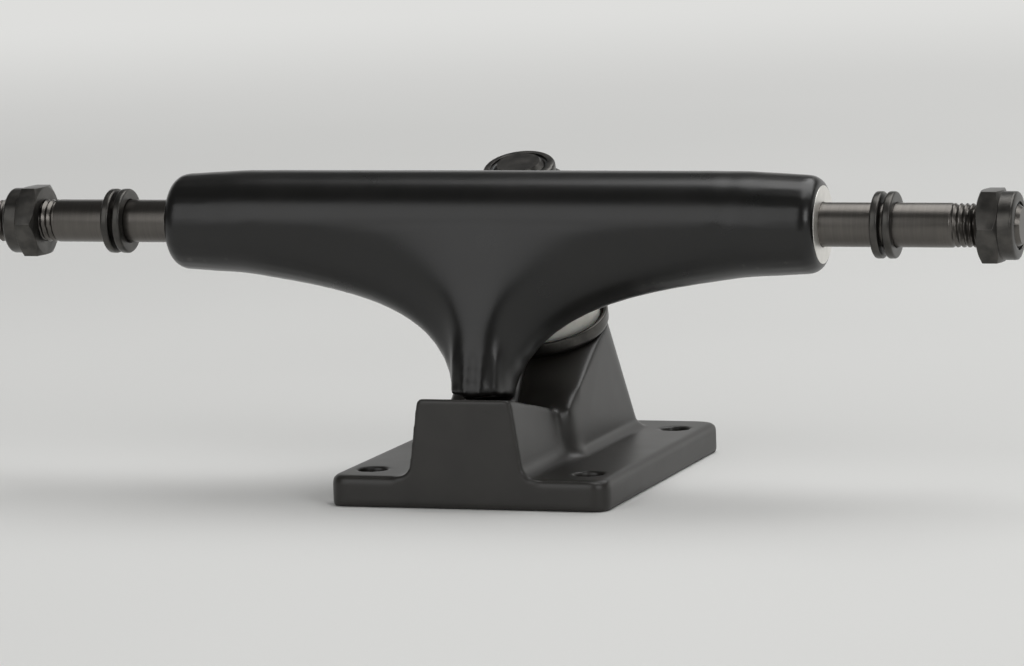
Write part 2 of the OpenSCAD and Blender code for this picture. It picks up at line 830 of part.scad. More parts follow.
baseplate();
pivot_cup();
kingpin();
lower_washer();
lower_bushing();
upper_bushing();
upper_washer();
kingpin_nut();
kingpin_nut_insert();
hanger();
axle();
axle_nut(-left_nut_x);  // axle_nut_left
axle_nut(right_nut_x);  // axle_nut_right
axle_nut_insert(-left_nut_x);  // axle_nut_insert_left
axle_nut_insert(right_nut_x);  // axle_nut_insert_right
speed_washer(-1, left_washers_x);  // speed_washer_left_inner
speed_washer(-1, left_washers_x + outer_washer_step);  // speed_washer_left_outer
speed_washer(1, right_washers_x);  // speed_washer_right_inner
speed_washer(1, right_washers_x + outer_washer_step);  // speed_washer_right_outer
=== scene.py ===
import math

import bpy
from mathutils import Matrix, Vector


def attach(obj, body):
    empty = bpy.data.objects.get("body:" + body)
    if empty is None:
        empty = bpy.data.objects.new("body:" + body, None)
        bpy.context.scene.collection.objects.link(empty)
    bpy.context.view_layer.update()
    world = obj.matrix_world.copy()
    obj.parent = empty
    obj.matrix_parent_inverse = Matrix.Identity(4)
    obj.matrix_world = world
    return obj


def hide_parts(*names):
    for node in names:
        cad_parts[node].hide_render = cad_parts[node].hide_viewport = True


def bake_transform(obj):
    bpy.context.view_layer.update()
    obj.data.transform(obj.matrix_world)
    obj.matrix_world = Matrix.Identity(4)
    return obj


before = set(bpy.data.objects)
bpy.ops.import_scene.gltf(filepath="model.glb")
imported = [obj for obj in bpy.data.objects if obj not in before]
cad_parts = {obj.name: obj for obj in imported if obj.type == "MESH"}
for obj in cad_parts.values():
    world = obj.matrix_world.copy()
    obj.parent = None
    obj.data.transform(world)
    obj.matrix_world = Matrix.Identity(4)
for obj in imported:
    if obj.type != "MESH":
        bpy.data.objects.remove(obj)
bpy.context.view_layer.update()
mm = 0.001
fullTurn = 2 * math.pi
weldGap = 1e-6
crispAngle = 32  # degrees, edges sharper than this stay crisp
bpy.ops.object.select_all(action="DESELECT")

# the three lines that the round pieces are turned about, in mm as in the part's source
kingpinLean = math.radians(20)
seat = Vector((0, 10.8, 26.3))
kingpinWay = Vector((0, -math.sin(kingpinLean), math.cos(kingpinLean)))
pivot = Vector((0, -26.5, 11.5))
steerWay = Vector((0, 0.75666984, 0.65379718))
axleMiddle = Vector((0, -16, 49.5))
outward = {"left": Vector((-1, 0, 0)), "right": Vector((1, 0, 0))}


def onLine(start, way, along=0):
    turn = Vector((0, 0, 1)).rotation_difference(way).to_matrix().to_4x4()
    return Matrix.Translation((start + way * along) * mm) @ turn


def linearColour(hexText):
    parts = [int(hexText[i:i + 2], 16) / 255 for i in (1, 3, 5)]
    return [p / 12.92 if p <= 0.04045 else ((p + 0.055) / 1.055) ** 2.4 for p in parts] + [1]


def addNode(tree, kind, settings, links=()):
    node = tree.nodes.new(kind)
    for key, value in settings.items():
        if key == "stops":
            for element, (position, colour) in zip(node.color_ramp.elements, value):
                element.position = position
                element.color = linearColour(colour)
        elif key in node.inputs:
            node.inputs[key].default_value = value
        else:
            setattr(node, key, value)
    for key, source, output in links:
        tree.links.new(source.outputs[output], node.inputs[key])
    return node


def startMaterial(name, **sockets):
    material = bpy.data.materials.new(name)
    material.use_nodes = True
    tree = material.node_tree
    shader = tree.nodes["Principled BSDF"]
    for key, value in sockets.items():
        shader.inputs[key.replace("_", " ")].default_value = value
    place = addNode(tree, "ShaderNodeTexCoord", {})
    return material, tree, shader, [("Vector", place, "Object")]


def grain(sizeMm):
    return 1 / (sizeMm * mm)


def paintedCasting(name, dark, light, edgeWearAndHighlight, smooth, dull, gloss):
    # satin powder paint on cast aluminium: deep black, soft broad sheen, faint orange peel, edges part worn,
    # part painted highlight
    material, tree, shader, onPiece = startMaterial(name, IOR=1.5, Specular_IOR_Level=gloss)
    cloud = addNode(tree, "ShaderNodeTexNoise", {"Scale": grain(9), "Detail": 3}, onPiece)
    tone = addNode(tree, "ShaderNodeValToRGB", {"stops": [(0.35, dark), (0.65, light)]},
                   [("Fac", cloud, "Fac")])
    shape = addNode(tree, "ShaderNodeNewGeometry", {})
    # sharp edges get a paler colour: partly rubbed paint, partly a painted highlight for the light along
    # rounded edges
    edge = addNode(tree, "ShaderNodeValToRGB", {"stops": [(0.58, "#000000"), (0.7, "#ffffff")]},
                   [("Fac", shape, "Pointiness")])
    wornAndHighlitEdges = addNode(tree, "ShaderNodeMix", {"data_type": "RGBA"}, [(0, edge, "Color"), (6, tone, "Color")])
    wornAndHighlitEdges.inputs[7].default_value = linearColour(edgeWearAndHighlight)
    tree.links.new(wornAndHighlitEdges.outputs[2], shader.inputs["Base Color"])
    sheen = addNode(tree, "ShaderNodeMapRange", {"To Min": smooth, "To Max": dull}, [("Value", cloud, "Fac")])
    tree.links.new(sheen.outputs["Result"], shader.inputs["Roughness"])
    cast = addNode(tree, "ShaderNodeTexNoise", {"Scale": grain(5), "Detail": 2}, onPiece)
    wave = addNode(tree, "ShaderNodeBump", {"Strength": 0.08, "Distance": 0.15 * mm},
                   [("Height", cast, "Fac")])
    peel = addNode(tree, "ShaderNodeTexNoise", {"Scale": grain(0.6), "Detail": 2}, onPiece)
    skin = addNode(tree, "ShaderNodeBump", {"Strength": 0.16, "Distance": 0.04 * mm},
                   [("Height", peel, "Fac"), ("Normal", wave, "Normal")])
    tree.links.new(skin.outputs["Normal"], shader.inputs["Normal"])
    return material


def groundSteel():
    # centreless-ground steel, oiled: grey-brown, very fine rings round the bar, one narrow streak of light
    material, tree, shader, onPiece = startMaterial("groundDarkSteel", Metallic=1)
    stretch = addNode(tree, "ShaderNodeMapping", {"Scale": (1, 0.04, 0.04)}, onPiece)
    rings = addNode(tree, "ShaderNodeTexNoise", {"Scale": grain(0.3), "Detail": 3},
                    [("Vector", stretch, "Vector")])
    cloud = addNode(tree, "ShaderNodeTexNoise", {"Scale": grain(6), "Detail": 3}, onPiece)
    tone = addNode(tree, "ShaderNodeValToRGB", {"stops": [(0.3, "#5b5855"), (0.7, "#625f5b")]},
                   [("Fac", rings, "Fac")])
    tree.links.new(tone.outputs["Color"], shader.inputs["Base Color"])
    sheen = addNode(tree, "ShaderNodeMapRange", {"To Min": 0.28, "To Max": 0.38}, [("Value", cloud, "Fac")])
    tree.links.new(sheen.outputs["Result"], shader.inputs["Roughness"])
    skin = addNode(tree, "ShaderNodeBump", {"Strength": 0.02, "Distance": 0.03 * mm},
                   [("Height", rings, "Fac")])
    tree.links.new(skin.outputs["Normal"], shader.inputs["Normal"])
    return material


def blackSteel():
    # black zinc on cold-formed steel: dark grey, a little cloudy, with a hard small sheen
    material, tree, shader, onPiece = startMaterial("blackZincSteel", Metallic=0.9)
    cloud = addNode(tree, "ShaderNodeTexNoise", {"Scale": grain(2.5), "Detail": 4}, onPiece)
    tone = addNode(tree, "ShaderNodeValToRGB", {"stops": [(0.35, "#403f3d"), (0.65, "#53514e")]},
                   [("Fac", cloud, "Fac")])
    tree.links.new(tone.outputs["Color"], shader.inputs["Base Color"])
    sheen = addNode(tree, "ShaderNodeMapRange", {"To Min": 0.28, "To Max": 0.42}, [("Value", cloud, "Fac")])
    tree.links.new(sheen.outputs["Result"], shader.inputs["Roughness"])
    pits = addNode(tree, "ShaderNodeTexNoise", {"Scale": grain(0.5), "Detail": 2}, onPiece)
    skin = addNode(tree, "ShaderNodeBump", {"Strength": 0.1, "Distance": 0.03 * mm},
                   [("Height", pits, "Fac")])
    tree.links.new(skin.outputs["Normal"], shader.inputs["Normal"])
    return material


def turnedAluminium():
    # bare aluminium faced on a lathe: bright, fine rings round the axle (0.4 mm feed, that coarse to show)
    material, tree, shader, onPiece = startMaterial("facedAluminium", Metallic=1)
    centre = addNode(tree, "ShaderNodeMapping", {"Location": tuple(-axleMiddle * mm)}, onPiece)
    feed, waveTurn = 0.4 * mm, 20  # a wave node turns 20 radians per unit
    rings = addNode(tree, "ShaderNodeTexWave", {"wave_type": "RINGS", "rings_direction": "X",
                                                "Scale": fullTurn / (waveTurn * feed)},
                    [("Vector", centre, "Vector")])
    cloud = addNode(tree, "ShaderNodeTexNoise", {"Scale": grain(3), "Detail": 3}, onPiece)
    tone = addNode(tree, "ShaderNodeValToRGB", {"stops": [(0.35, "#e6e4df"), (0.65, "#f4f2ee")]},
                   [("Fac", cloud, "Fac")])
    tree.links.new(tone.outputs["Color"], shader.inputs["Base Color"])
    sheen = addNode(tree, "ShaderNodeMapRange", {"To Min": 0.35, "To Max": 0.5}, [("Value", cloud, "Fac")])
    tree.links.new(sheen.outputs["Result"], shader.inputs["Roughness"])
    skin = addNode(tree, "ShaderNodeBump", {"Strength": 0.2, "Distance": 0.03 * mm},
                   [("Height", rings, "Fac")])
    tree.links.new(skin.outputs["Normal"], shader.inputs["Normal"])
    return material


def castUrethane(name, dark, light, rough):
    # poured polyurethane: milky and soft, a faint mould skin and a dull gloss
    material, tree, shader, onPiece = startMaterial(name, IOR=1.48, Subsurface_Weight=0.12,
                                                    Subsurface_Scale=2 * mm)
    cloud = addNode(tree, "ShaderNodeTexNoise", {"Scale": grain(4), "Detail": 3}, onPiece)
    tone = addNode(tree, "ShaderNodeValToRGB", {"stops": [(0.35, dark), (0.65, light)]},
                   [("Fac", cloud, "Fac")])
    tree.links.new(tone.outputs["Color"], shader.inputs["Base Color"])
    sheen = addNode(tree, "ShaderNodeMapRange", {"To Min": rough - 0.05, "To Max": rough + 0.08},
                    [("Value", cloud, "Fac")])
    tree.links.new(sheen.outputs["Result"], shader.inputs["Roughness"])
    mould = addNode(tree, "ShaderNodeTexNoise", {"Scale": grain(0.6), "Detail": 2}, onPiece)
    skin = addNode(tree, "ShaderNodeBump", {"Strength": 0.08, "Distance": 0.04 * mm},
                   [("Height", mould, "Fac")])
    tree.links.new(skin.outputs["Normal"], shader.inputs["Normal"])
    return material


looks = {
    # each paint's fourth colour is its paler edge tone, part wear and part painted highlight
    "hangerPaint": paintedCasting("satinBlackPaint", "#0b0b0a", "#100f0e", "#2b2a28", 0.24, 0.34, 0.45),
    # the baseplate has the hanger's black paint; its paler tones are painted light for the brighter light its
    # faces catch
    "plateBlackWithPaintedLight": paintedCasting("satinBlackWithPaintedLight", "#1d1b18", "#252320", "#403d39", 0.36, 0.46, 0.55),
    "bar": groundSteel(),
    "zinc": blackSteel(),
    "bare": turnedAluminium(),
    "bushing": castUrethane("whiteUrethane", "#dedcd4", "#eceae4", 0.42),
    "cup": castUrethane("greyUrethane", "#4a4947", "#5a5956", 0.5),
    "nylon": castUrethane("blackNylon", "#1a1a19", "#242322", 0.4),
}
print("looks ready")


def finishPiece(piece, look, body, node=None):
    piece.data.materials.clear()
    piece.data.materials.append(looks[look])
    if body:
        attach(piece, body)
    if node:
        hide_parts(node)


def applyModifier(piece, kind, **settings):
    bpy.context.view_layer.objects.active = piece
    modifier = piece.modifiers.new(kind.lower(), kind)
    for key, value in settings.items():
        setattr(modifier, key, value)
    bpy.ops.object.modifier_apply(modifier=modifier.name)


def smoothByAngle(piece, degrees):
    bpy.ops.object.select_all(action="DESELECT")
    piece.select_set(True)
    bpy.context.view_layer.objects.active = piece
    bpy.ops.object.shade_smooth_by_angle(angle=math.radians(degrees))


def softProfile(corners, steps=4):
    # corners as (radius, height, rounding), in order round the section
    points = []
    for i, (r, z, soft) in enumerate(corners):
        here = Vector((r, z))
        before = (Vector(corners[i - 1][:2]) - here).normalized()
        after = (Vector(corners[(i + 1) % len(corners)][:2]) - here).normalized()
        if soft == 0:
            points.append((r, z))
            continue
        half = before.angle(after) / 2
        middle = here + (before + after).normalized() * soft / math.sin(half)
        first = before * soft / math.tan(half) + here - middle
        last = after * soft / math.tan(half) + here - middle
        for k in range(steps + 1):
            share = k / steps
            ray = (first * (1 - share) + last * share).normalized() * soft
            points.append(tuple(middle + ray))
    return points


def turnedPiece(name, profile, place, segments=96, closed=True, thread=None):
    # a circle is drawn out ring by ring along its own axis, then put on its line
    bpy.ops.object.select_all(action="DESELECT")
    r, z = profile[0]
    bpy.ops.mesh.primitive_circle_add(vertices=segments, radius=r * mm)
    piece = bpy.context.object
    piece.name = piece.data.name = name
    bpy.ops.object.mode_set(mode="EDIT")
    bpy.ops.mesh.select_all(action="SELECT")
    bpy.ops.transform.translate(value=(0, 0, z * mm))
    for nextR, nextZ in profile[1:] + (profile[:1] if closed else []):
        bpy.ops.mesh.extrude_region_move(TRANSFORM_OT_translate={"value": (0, 0, (nextZ - z) * mm)})
        bpy.ops.transform.resize(value=(nextR / r, nextR / r, 1), center_override=(0, 0, nextZ * mm))
        r, z = nextR, nextZ
    bpy.ops.mesh.select_all(action="SELECT")
    if closed:
        bpy.ops.mesh.remove_doubles(threshold=weldGap)
    else:
        bpy.ops.mesh.fill_holes(sides=0)
    bpy.ops.mesh.normals_make_consistent(inside=False)
    bpy.ops.object.mode_set(mode="OBJECT")
    if thread:
        cutThread(piece, thread)
    piece.matrix_world = place
    bpy.ops.object.transform_apply(location=True, rotation=True, scale=True)
    smoothByAngle(piece, crispAngle)
    return piece


def cutThread(piece, thread):
    # right-hand V thread: crest and root follow the angle round the bar, and fade in at the ends
    for vertex in piece.data.vertices:
        x, y, z = vertex.co / mm
        r = math.hypot(x, y)
        for low, high in thread["spans"]:
            if low < z < high:
                fade = min(1, (z - low) / thread["fade"], (high - z) / thread["fade"])
                phase = (z / thread["pitch"] - math.atan2(y, x) / fullTurn) % 1
                dip = thread["depth"] * (1 - abs(2 * phase - 1)) * fade
                vertex.co.x *= (r - dip) / r
                vertex.co.y *= (r - dip) / r


def threadRings(low, high, r, pitch, perTurn=8):
    count = round((high - low) / pitch * perTurn)
    return [(r, low + (high - low) * i / count) for i in range(count + 1)]


def copyNode(node, name):
    bpy.ops.object.select_all(action="DESELECT")
    piece = bpy.data.objects.new(name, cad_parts[node].data.copy())
    piece.data.name = name
    bpy.context.collection.objects.link(piece)
    piece.select_set(True)
    bpy.context.view_layer.objects.active = piece
    bpy.ops.object.mode_set(mode="EDIT")
    bpy.ops.mesh.select_all(action="SELECT")
    bpy.ops.mesh.remove_doubles(threshold=2 * weldGap)
    bpy.ops.object.mode_set(mode="OBJECT")
    return piece


def fullness(value, empty, full):
    share = min(1, max(0, (value - empty) / (full - empty)))
    return share * share * (3 - 2 * share)


# castings: the solids' forms with every edge softened, as poured and painted metal has them
casting = {
    "hanger": {"voxel": 0.46, "pairs": 171, "inflate": -0.51, "look": "hangerPaint"},
    "baseplate": {"voxel": 0.42, "pairs": 8, "inflate": -0.28, "look": "plateBlackWithPaintedLight"},
}
coarser = 1
neckBlend = {"ribTop": (-25.4, 51.4), "ribFall": 0.199, "narrow": 3, "wide": 17, "from": 30, "rise": 14,
             "curve": 1.2, "webLean": 10, "skin": 2, "half": 30, "fadeX": 9, "foot": 21, "low": 26,
             "fadeLow": 5, "high": 50, "fadeHigh": 8, "taperAt": 48, "taperReach": 7, "taperCore": 2,
             "taperShare": 0.4, "passes": 104}


def blendNeck(piece):
    # the neck's rib spreads into the web, and neck, barrel and tapered ends meet without a crease
    group = piece.vertex_groups.new(name="neckFront")
    ribY, ribZ = neckBlend["ribTop"]
    lean = math.tan(math.radians(neckBlend["webLean"]))
    for vertex in piece.data.vertices:
        x, y, z = vertex.co / mm
        webY = axleMiddle.y - (axleMiddle.z - z) * lean
        front = fullness(webY - y, -neckBlend["skin"] / 2, neckBlend["skin"])
        if front > 0 and z < ribZ:
            climb = max(0, (z - neckBlend["from"]) / neckBlend["rise"])
            spread = neckBlend["narrow"] + neckBlend["wide"] * climb ** neckBlend["curve"]
            push = math.exp(-(x / spread) ** 2) * front * fullness(z, neckBlend["foot"], neckBlend["low"])
            vertex.co.y += min(0, ribY - (ribZ - z) * neckBlend["ribFall"] - y) * push * mm
        weight = fullness(-abs(x), -neckBlend["half"], neckBlend["fadeX"] - neckBlend["half"]) * front
        weight *= fullness(z, neckBlend["low"], neckBlend["low"] + neckBlend["fadeLow"])
        weight *= fullness(-z, -neckBlend["high"], neckBlend["fadeHigh"] - neckBlend["high"])
        fromTaper = abs(abs(x) - neckBlend["taperAt"])
        taper = fullness(-fromTaper, -neckBlend["taperReach"], -neckBlend["taperCore"])
        group.add([vertex.index], max(weight, taper * neckBlend["taperShare"]), "REPLACE")
    applyModifier(piece, "SMOOTH", factor=0.5, iterations=neckBlend["passes"] // coarser,
                  vertex_group=group.name)
    piece.vertex_groups.clear()


barrel = {"r": 9.6, "near": 0.5, "half": 47, "fadeX": 4, "rise": 2, "backFade": 3}


def trueBarrel(piece):
    # the upper front of the barrel is round to a hair, so that the light runs along it in straight lines
    for vertex in piece.data.vertices:
        x, y, z = vertex.co / mm
        back, up = y - axleMiddle.y, z - axleMiddle.z
        r = math.hypot(back, up)
        if abs(r - barrel["r"]) < barrel["near"]:
            share = fullness(-abs(x), -barrel["half"], barrel["fadeX"] - barrel["half"])
            share *= fullness(up, 0, barrel["rise"]) * fullness(-back, 0, barrel["backFade"])
            scale = 1 + (barrel["r"] / r - 1) * share
            vertex.co = Vector((x, axleMiddle.y + back * scale, axleMiddle.z + up * scale)) * mm


cornerBlend = {"centres": [(-11.5, -11, 12), (11.5, -11, 12)], "reach": (4.5, 7, 10), "core": 0.5,
               "passes": 90}


def blendCorners(piece):
    # the spine's front corners run into the block's sides in one soft hollow
    group = piece.vertex_groups.new(name="corners")
    for vertex in piece.data.vertices:
        offsets = [[(p - c) / r for p, c, r in zip(vertex.co / mm, centre, cornerBlend["reach"])]
                   for centre in cornerBlend["centres"]]
        nearest = min(Vector(offset).length for offset in offsets)
        group.add([vertex.index], fullness(-nearest, -1, -cornerBlend["core"]), "REPLACE")
    applyModifier(piece, "SMOOTH", factor=0.5, iterations=cornerBlend["passes"] // coarser,
                  vertex_group=group.name)
    piece.vertex_groups.clear()


def castPiece(node, name, body):
    size = casting[node]
    piece = copyNode(node, name)
    applyModifier(piece, "REMESH", mode="VOXEL", voxel_size=size["voxel"] * coarser * mm)
    for i in range(max(1, size["pairs"] // coarser ** 4)):
        # in and out again, so that edges round off and nothing shrinks
        applyModifier(piece, "SMOOTH", factor=0.5, iterations=1)
        applyModifier(piece, "SMOOTH", factor=size["inflate"], iterations=1)
    if node == "hanger":
        blendNeck(piece)
        trueBarrel(piece)
    else:
        blendCorners(piece)
    bpy.ops.object.shade_smooth()
    finishPiece(piece, size["look"], body, node)
    print(name, len(piece.data.polygons), "faces")
    return piece


hangerPiece = castPiece("hanger", "hangerCasting", "hanger")
castPiece("baseplate", "baseplateCasting", "base")
print("castings ready")

# machined faces at the hanger's ends, where the paint is cut away round the axle
endFace = {"inner": 4.03, "outer": 7.0, "thick": 0.5, "proud": 0.02, "rimSoft": 0.03, "boreSoft": 0.12}
for side, way in outward.items():
    high = max(vertex.co.dot(way) for vertex in hangerPiece.data.vertices) / mm + endFace["proud"]
    low = high - endFace["thick"]
    section = softProfile([(endFace["inner"], low, 0), (endFace["outer"], low, 0),
                           (endFace["outer"], high, endFace["rimSoft"]),
                           (endFace["inner"], high, endFace["boreSoft"])])
    ring = turnedPiece("endFace_" + side, section, onLine(axleMiddle, way))
    finishPiece(ring, "bare", "hanger", None)

# axle group: bar with both threads, loose washers, lock nuts with their nylon rings
axle = {"half": 98.425, "r": 3.97, "threadFrom": 85.625, "chamfer": 0.75, "pitch": 25.4 / 24, "depth": 0.42,
        "fade": 0.8, "segments": 72}
tipR = axle["r"] - axle["chamfer"]
threadTop = axle["half"] - axle["chamfer"]
rightHalf = threadRings(axle["threadFrom"], threadTop, axle["r"], axle["pitch"]) + [(tipR, axle["half"])]
leftHalf = [(r, -z) for r, z in reversed(rightHalf)]
axleThread = {"spans": [(-axle["half"], -axle["threadFrom"]), (axle["threadFrom"], axle["half"])],
              "pitch": axle["pitch"], "depth": axle["depth"], "fade": axle["fade"]}
bar = turnedPiece("axleBar", leftHalf + rightHalf, onLine(axleMiddle, outward["right"]), axle["segments"],
                  False, axleThread)
finishPiece(bar, "bar", "hanger", "axle")

speedWasher = {"bore": 4.05, "r": 6, "thick": 1.5, "soft": 0.4, "boreSoft": 0.15, "step": 2.3,
               "left": 71.6, "right": 71.8}
for side, way in outward.items():
    for place, step in (("inner", 0), ("outer", speedWasher["step"])):
        low = speedWasher[side] + step
        high = low + speedWasher["thick"]
        section = softProfile([(speedWasher["bore"], low, speedWasher["boreSoft"]),
                               (speedWasher["r"], low, speedWasher["soft"]),
                               (speedWasher["r"], high, speedWasher["soft"]),
                               (speedWasher["bore"], high, speedWasher["boreSoft"])])
        ring = turnedPiece("speedWasher_%s_%s" % (side, place), section, onLine(axleMiddle, way))
        finishPiece(ring, "zinc", "%s_%s_washer" % (side, place), "speed_washer_%s_%s" % (side, place))

collar = {"from": 3.85, "inner": 5.05, "outer": 5.6, "limit": 6, "wider": 0.07}
nutEdge = {"flat": 1.5, "sharp": 25, "crisp": 35, "bevel": 0.22, "segments": 3}


def lockNut(node, name, body, place):
    piece = copyNode(node, name)
    own = place.inverted()
    low = min((own @ vertex.co).z for vertex in piece.data.vertices) / mm
    for vertex in piece.data.vertices:  # the collar stands nearly as wide as the flats
        x, y, z = own @ vertex.co / mm
        r = math.hypot(x, y)
        wide = collar["wider"] * fullness(r, collar["inner"], collar["outer"])
        if node != "kingpin_nut" and z - low > collar["from"] and r < collar["limit"]:
            vertex.co = place @ (Vector((x * (1 + wide), y * (1 + wide), z)) * mm)
    bpy.ops.object.mode_set(mode="EDIT")
    bpy.ops.mesh.dissolve_limited(angle_limit=math.radians(nutEdge["flat"]))
    bpy.ops.object.mode_set(mode="OBJECT")
    applyModifier(piece, "BEVEL", width=nutEdge["bevel"] * mm, segments=nutEdge["segments"],
                  limit_method="ANGLE", angle_limit=math.radians(nutEdge["sharp"]), use_clamp_overlap=True)
    applyModifier(piece, "WEIGHTED_NORMAL", keep_sharp=True)
    smoothByAngle(piece, nutEdge["crisp"])
    finishPiece(piece, "zinc", body, node)


nylonRing = {"height": 2, "soft": 0.3, "rimSoft": 0.1, "segments": 72,
             "left": {"low": 92.925, "bore": 3.85, "r": 4.94},
             "right": {"low": 95.425, "bore": 3.85, "r": 4.94},
             "kingpin": {"low": 31.82, "bore": 4.7, "r": 5.99}}


def nylonInsert(which, name, place, body, node):
    size = nylonRing[which]
    high = size["low"] + nylonRing["height"]
    section = softProfile([(size["bore"], size["low"], nylonRing["soft"]),
                           (size["r"], size["low"], nylonRing["rimSoft"]),
                           (size["r"], high, nylonRing["rimSoft"]), (size["bore"], high, nylonRing["soft"])])
    ring = turnedPiece(name, section, place, nylonRing["segments"])
    finishPiece(ring, "nylon", body, node)


for side, way in outward.items():
    lockNut("axle_nut_" + side, "axleLockNut_" + side, side + "_nut", onLine(axleMiddle, way))
    nylonInsert(side, "axleNutRing_" + side, onLine(axleMiddle, way), side + "_nut_travel",
                "axle_nut_insert_" + side)
print("axle group ready")

# kingpin stack, from the head under the plate to the nut
onKingpin = onLine(seat, kingpinWay)
kingpin = {"r": 4.7625, "tip": 34.82, "threadFrom": 19.82, "grip": 14, "sunk": 1, "headHigh": 6.4,
           "headFlats": 14.29, "headPlay": 0.04, "headBevel": 0.45, "chamfer": 0.8, "depth": 0.5, "fade": 0.8,
           "segments": 72}
threadTop = kingpin["tip"] - kingpin["chamfer"]
shank = [(kingpin["r"], -kingpin["grip"] - kingpin["sunk"])]
shank += threadRings(kingpin["threadFrom"], threadTop, kingpin["r"], axle["pitch"])
shank.append((kingpin["r"] - kingpin["chamfer"], kingpin["tip"]))
kingpinThread = {"spans": [(kingpin["threadFrom"], kingpin["tip"])], "pitch": axle["pitch"],
                 "depth": kingpin["depth"], "fade": kingpin["fade"]}
pin = turnedPiece("kingpinBolt", shank, onKingpin, kingpin["segments"], False, kingpinThread)
bpy.ops.object.select_all(action="DESELECT")
headR = kingpin["headFlats"] / 2 / math.cos(math.pi / 6)
bpy.ops.mesh.primitive_cylinder_add(vertices=6, radius=headR * mm,
                                    depth=(kingpin["headHigh"] - kingpin["headPlay"]) * mm)
head = bpy.context.object
bpy.ops.object.mode_set(mode="EDIT")
bpy.ops.mesh.select_all(action="SELECT")
bpy.ops.mesh.bevel(offset=kingpin["headBevel"] * mm, segments=3, affect="EDGES")
bpy.ops.object.mode_set(mode="OBJECT")
head.matrix_world = onLine(seat, kingpinWay, -kingpin["grip"] - kingpin["headHigh"] / 2)
bpy.ops.object.transform_apply(location=True, rotation=True, scale=True)
bpy.ops.object.select_all(action="DESELECT")
head.select_set(True)
pin.select_set(True)
bpy.context.view_layer.objects.active = pin
bpy.ops.object.join()
smoothByAngle(pin, crispAngle)
finishPiece(pin, "zinc", "base", "kingpin")

cupWasher = {"bore": 4.91, "floor": 1.8, "rim": 1.4, "wall": 0.8, "heel": 1.44, "boreSoft": 0.2,
             "lipSoft": 0.3, "softSteps": 5, "segments": 120,
             "lower": {"r": 12.5, "low": 0.02}, "upper": {"r": 10, "low": 23.2}}
for which in ("lower", "upper"):
    r = cupWasher[which]["r"]
    top = cupWasher["floor"] + cupWasher["rim"]
    inner = r - cupWasher["wall"]
    section = softProfile([(cupWasher["bore"], 0, cupWasher["boreSoft"]), (r, 0, cupWasher["heel"]),
                           (r, top, cupWasher["lipSoft"]), (inner, top, cupWasher["lipSoft"]),
                           (inner, cupWasher["floor"], cupWasher["wall"]),
                           (cupWasher["bore"], cupWasher["floor"], cupWasher["boreSoft"])],
                          cupWasher["softSteps"])
    if which == "upper":
        section = [(r2, cupWasher["floor"] - z2) for r2, z2 in section]
    ring = turnedPiece("cupWasher_" + which, section, onLine(seat, kingpinWay, cupWasher[which]["low"]),
                       cupWasher["segments"])
    finishPiece(ring, "zinc", "base", which + "_washer")

bushing = {"bore": 5.4, "soft": 0.9, "softSteps": 6, "rings": 12, "heldLow": 1.6, "heldHigh": 1.8,
           "segments": 120, "lower": {"low": 1.84, "high": 12.34, "r": (11, 11), "bulge": 0.35},
           "upper": {"low": 15.88, "high": 23.18, "r": (10, 8.6), "bulge": 0.25}}
shares = [i / bushing["rings"] for i in range(1, bushing["rings"])]
for which, ends in (("lower", ("base", "hanger")), ("upper", ("hanger", "base"))):
    size = bushing[which]
    outline = softProfile([(bushing["bore"], size["low"], 0), (size["r"][0], size["low"], bushing["soft"]),
                           (size["r"][1], size["high"], bushing["soft"]), (bushing["bore"], size["high"], 0)],
                          bushing["softSteps"])
    half = len(outline) // 2
    section = outline[:half]
    for share in shares:  # the outer wall bulges under load
        middle = Vector(outline[half - 1]) * (1 - share) + Vector(outline[half]) * share
        section.append((middle.x + size["bulge"] * math.sin(math.pi * share) ** 2, middle.y))
    section += outline[half:]
    for share in shares:
        section.append((bushing["bore"], size["high"] * (1 - share) + size["low"] * share))
    piece = turnedPiece(which + "Bushing", section, onKingpin, bushing["segments"])
    finishPiece(piece, "bushing", None, which + "_bushing")
    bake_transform(piece)

lockNut("kingpin_nut", "kingpinLockNut", "kingpin_nut", onKingpin)
nylonInsert("kingpin", "kingpinNutRing", onKingpin, "kingpin_nut_travel", "kingpin_nut_insert")

# pivot cup: a round-bottomed liner in the block, its lip showing round the neck
pivotCup = {"inner": 4.75, "outer": 6.3, "mouth": 3.8, "innerSoft": 0.35, "outerSoft": 0.45, "pole": 0.3,
            "steps": 10, "segments": 72}
angles = [math.pi / 2 * k / pivotCup["steps"] for k in range(pivotCup["steps"] + 1)]
innerBowl, outerBowl = ([(max(pivotCup["pole"], r * math.sin(angle)), -r * math.cos(angle))
                         for angle in angles] for r in (pivotCup["inner"], pivotCup["outer"]))
lip = softProfile([(pivotCup["inner"], 0, 0), (pivotCup["inner"], pivotCup["mouth"], pivotCup["innerSoft"]),
                   (pivotCup["outer"], pivotCup["mouth"], pivotCup["outerSoft"]), (pivotCup["outer"], 0, 0)])
cup = turnedPiece("pivotCupLiner", innerBowl + lip[1:-1] + outerBowl[::-1], onLine(pivot, steerWay),
                  pivotCup["segments"])
finishPiece(cup, "cup", "base", "pivot_cup")
print("kingpin stack ready")

